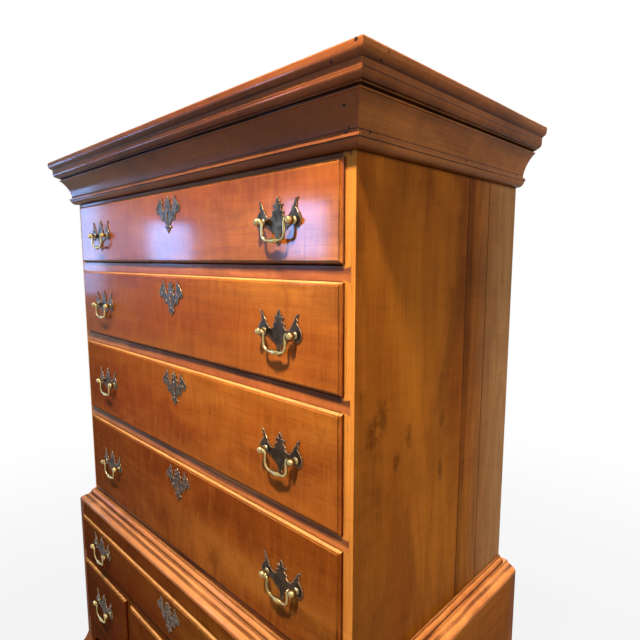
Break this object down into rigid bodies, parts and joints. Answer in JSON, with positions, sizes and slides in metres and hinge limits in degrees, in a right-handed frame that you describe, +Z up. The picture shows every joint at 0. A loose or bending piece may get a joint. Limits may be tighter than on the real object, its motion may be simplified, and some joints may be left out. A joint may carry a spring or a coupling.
{
  "type": "highboy",
  "caption": "Flat-top highboy: a tall upper case of graduated lipped drawers stands on a lower case with long and small drawers and cabriole legs; each drawer slides on runners.",
  "frame": {"origin": "on the floor, at the centre of the bounding box seen from above", "axes": "+Z up, the drawers face -Y, +X to the right when looking at the drawers from in front"},
  "size_m": [1.0302, 0.5692, 1.828],
  "materials": {
    "primary_wood": "semi-gloss, worn old finish",
    "secondary_wood": "matte, unfinished",
    "bright_brass": "polished by handling",
    "antique_brass": "dark, dull"
  },
  "bodies": {
    "case": {"base_strip": "primary_wood", "cornice_front": "primary_wood", "cornice_left": "primary_wood", "cornice_right": "primary_wood", "front_apron": "primary_wood", "knee_blocks": "primary_wood", "leg_front_left": "primary_wood", "leg_front_right": "primary_wood", "leg_rear_left": "primary_wood", "leg_rear_right": "primary_wood", "lower_back_board": "secondary_wood", "lower_rails": "primary_wood", "lower_runners": "secondary_wood", "lower_side_left": "primary_wood", "lower_side_right": "primary_wood", "upper_back_boards": "secondary_wood", "upper_bottom_board": "secondary_wood", "upper_rails": "primary_wood", "upper_runners": "secondary_wood", "upper_side_left": "primary_wood", "upper_side_right": "primary_wood", "upper_top_board": "primary_wood", "waist_moulding": "primary_wood"},
    "drawer_one": {"drawer_one_front": "primary_wood", "drawer_one_box": "secondary_wood", "drawer_one_brasses": "antique_brass"},
    "drawer_one_bail_left": {"drawer_one_bail_left": "bright_brass"},
    "drawer_one_bail_right": {"drawer_one_bail_right": "bright_brass"},
    "drawer_two": {"drawer_two_front": "primary_wood", "drawer_two_box": "secondary_wood", "drawer_two_brasses": "antique_brass"},
    "drawer_two_bail_left": {"drawer_two_bail_left": "bright_brass"},
    "drawer_two_bail_right": {"drawer_two_bail_right": "bright_brass"},
    "drawer_three": {"drawer_three_front": "primary_wood", "drawer_three_box": "secondary_wood", "drawer_three_brasses": "antique_brass"},
    "drawer_three_bail_left": {"drawer_three_bail_left": "bright_brass"},
    "drawer_three_bail_right": {"drawer_three_bail_right": "bright_brass"},
    "drawer_four": {"drawer_four_front": "primary_wood", "drawer_four_box": "secondary_wood", "drawer_four_brasses": "antique_brass"},
    "drawer_four_bail_left": {"drawer_four_bail_left": "bright_brass"},
    "drawer_four_bail_right": {"drawer_four_bail_right": "bright_brass"},
    "drawer_five": {"drawer_five_front": "primary_wood", "drawer_five_box": "secondary_wood", "drawer_five_brasses": "antique_brass"},
    "drawer_five_bail_left": {"drawer_five_bail_left": "bright_brass"},
    "drawer_five_bail_right": {"drawer_five_bail_right": "bright_brass"},
    "drawer_six": {"drawer_six_front": "primary_wood", "drawer_six_box": "secondary_wood", "drawer_six_brasses": "antique_brass"},
    "drawer_six_bail": {"drawer_six_bail": "bright_brass"},
    "drawer_seven": {"drawer_seven_front": "primary_wood", "drawer_seven_box": "secondary_wood", "drawer_seven_brasses": "antique_brass"},
    "drawer_seven_bail": {"drawer_seven_bail": "bright_brass"},
    "drawer_eight": {"drawer_eight_front": "primary_wood", "drawer_eight_box": "secondary_wood", "drawer_eight_brasses": "antique_brass"},
    "drawer_eight_bail": {"drawer_eight_bail": "bright_brass"}
  },
  "joints": [
    {"name": "drawer_one_slide", "type": "slide", "parent": "case", "child": "drawer_one", "axis": [0, -1, 0], "range_m": [0, 0.32]},
    {"name": "drawer_one_bail_left_swing", "type": "hinge", "parent": "drawer_one", "child": "drawer_one_bail_left", "pos_m": [-0.316, -0.244, 1.644], "axis": [-1, 0, 0], "range_deg": [-9, 88]},
    {"name": "drawer_one_bail_right_swing", "type": "hinge", "parent": "drawer_one", "child": "drawer_one_bail_right", "pos_m": [0.316, -0.244, 1.644], "axis": [-1, 0, 0], "range_deg": [-9, 88]},
    {"name": "drawer_two_slide", "type": "slide", "parent": "case", "child": "drawer_two", "axis": [0, -1, 0], "range_m": [0, 0.32]},
    {"name": "drawer_two_bail_left_swing", "type": "hinge", "parent": "drawer_two", "child": "drawer_two_bail_left", "pos_m": [-0.316, -0.244, 1.4815], "axis": [-1, 0, 0], "range_deg": [-9, 88]},
    {"name": "drawer_two_bail_right_swing", "type": "hinge", "parent": "drawer_two", "child": "drawer_two_bail_right", "pos_m": [0.316, -0.244, 1.4815], "axis": [-1, 0, 0], "range_deg": [-9, 88]},
    {"name": "drawer_three_slide", "type": "slide", "parent": "case", "child": "drawer_three", "axis": [0, -1, 0], "range_m": [0, 0.32]},
    {"name": "drawer_three_bail_left_swing", "type": "hinge", "parent": "drawer_three", "child": "drawer_three_bail_left", "pos_m": [-0.316, -0.244, 1.294], "axis": [-1, 0, 0], "range_deg": [-9, 88]},
    {"name": "drawer_three_bail_right_swing", "type": "hinge", "parent": "drawer_three", "child": "drawer_three_bail_right", "pos_m": [0.316, -0.244, 1.294], "axis": [-1, 0, 0], "range_deg": [-9, 88]},
    {"name": "drawer_four_slide", "type": "slide", "parent": "case", "child": "drawer_four", "axis": [0, -1, 0], "range_m": [0, 0.32]},
    {"name": "drawer_four_bail_left_swing", "type": "hinge", "parent": "drawer_four", "child": "drawer_four_bail_left", "pos_m": [-0.316, -0.244, 1.0855], "axis": [-1, 0, 0], "range_deg": [-9, 88]},
    {"name": "drawer_four_bail_right_swing", "type": "hinge", "parent": "drawer_four", "child": "drawer_four_bail_right", "pos_m": [0.316, -0.244, 1.0855], "axis": [-1, 0, 0], "range_deg": [-9, 88]},
    {"name": "drawer_five_slide", "type": "slide", "parent": "case", "child": "drawer_five", "axis": [0, -1, 0], "range_m": [0, 0.36]},
    {"name": "drawer_five_bail_left_swing", "type": "hinge", "parent": "drawer_five", "child": "drawer_five_bail_left", "pos_m": [-0.331, -0.276, 0.8665], "axis": [-1, 0, 0], "range_deg": [-9, 88]},
    {"name": "drawer_five_bail_right_swing", "type": "hinge", "parent": "drawer_five", "child": "drawer_five_bail_right", "pos_m": [0.331, -0.276, 0.8665], "axis": [-1, 0, 0], "range_deg": [-9, 88]},
    {"name": "drawer_six_slide", "type": "slide", "parent": "case", "child": "drawer_six", "axis": [0, -1, 0], "range_m": [0, 0.36]},
    {"name": "drawer_six_bail_swing", "type": "hinge", "parent": "drawer_six", "child": "drawer_six_bail", "pos_m": [-0.338, -0.276, 0.707], "axis": [-1, 0, 0], "range_deg": [-9, 88]},
    {"name": "drawer_seven_slide", "type": "slide", "parent": "case", "child": "drawer_seven", "axis": [0, -1, 0], "range_m": [0, 0.36]},
    {"name": "drawer_seven_bail_swing", "type": "hinge", "parent": "drawer_seven", "child": "drawer_seven_bail", "pos_m": [0, -0.276, 0.707], "axis": [-1, 0, 0], "range_deg": [-9, 88]},
    {"name": "drawer_eight_slide", "type": "slide", "parent": "case", "child": "drawer_eight", "axis": [0, -1, 0], "range_m": [0, 0.36]},
    {"name": "drawer_eight_bail_swing", "type": "hinge", "parent": "drawer_eight", "child": "drawer_eight_bail", "pos_m": [0.338, -0.276, 0.707], "axis": [-1, 0, 0], "range_deg": [-9, 88]}
  ]
}
